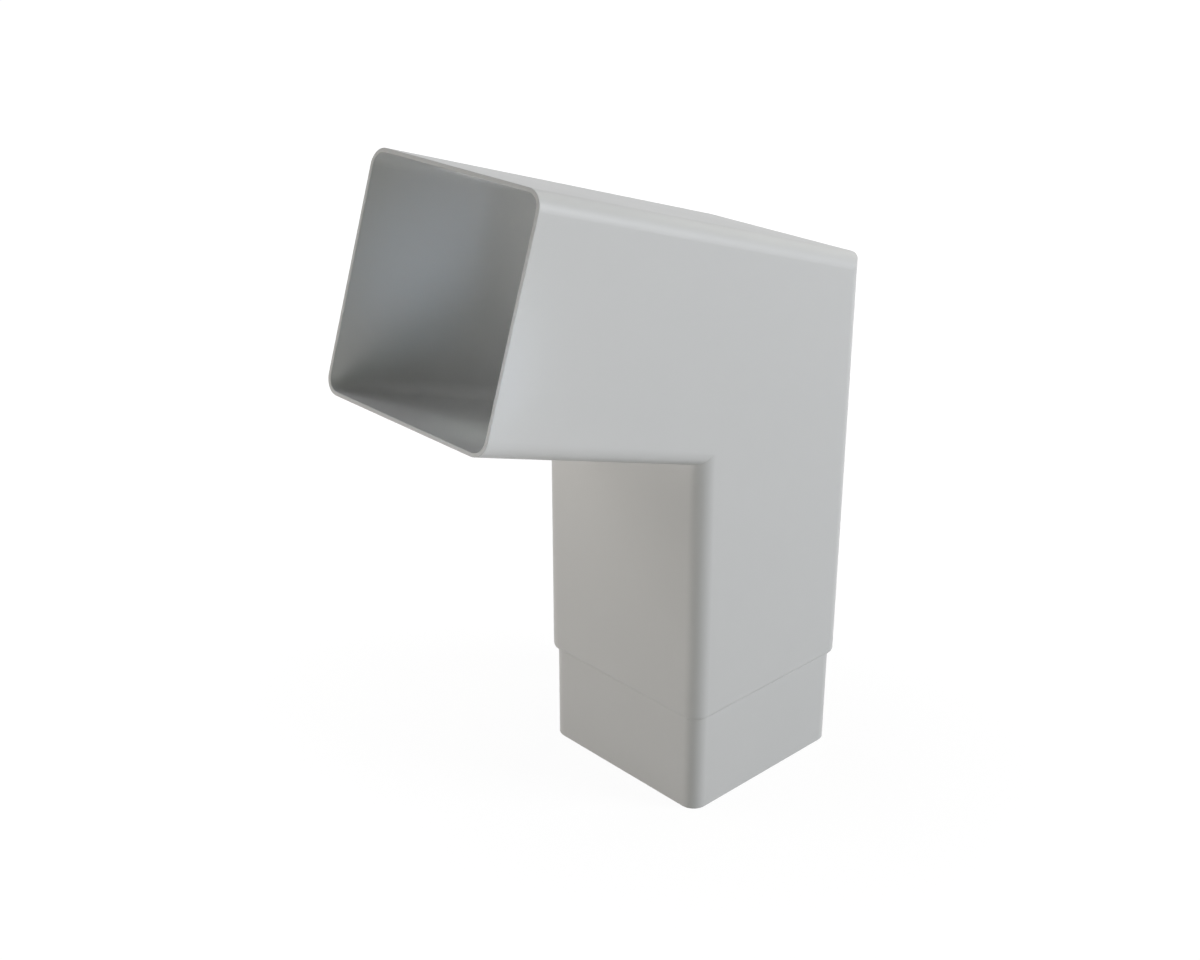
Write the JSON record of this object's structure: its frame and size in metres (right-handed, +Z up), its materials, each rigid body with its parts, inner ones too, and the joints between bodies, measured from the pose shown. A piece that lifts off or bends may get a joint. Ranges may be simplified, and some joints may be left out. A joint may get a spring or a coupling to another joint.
{
  "type": "downspout elbow",
  "caption": "Square rainwater downpipe elbow with a mitred 72 degree bend, a spigot below and a plain socket above, moulded in one piece of grey PVC.",
  "frame": {"origin": "centre of the spigot's open end", "axes": "+Z up the lower limb; the upper limb leads off towards -X and climbs 18 degrees; the part is the same on both sides of the plane Y = 0"},
  "size_m": [0.1803, 0.083, 0.2548],
  "materials": {
    "grey_pvc": "smooth moulded"
  },
  "bodies": {
    "root": {"elbow": "grey_pvc"}
  },
  "joints": []
}
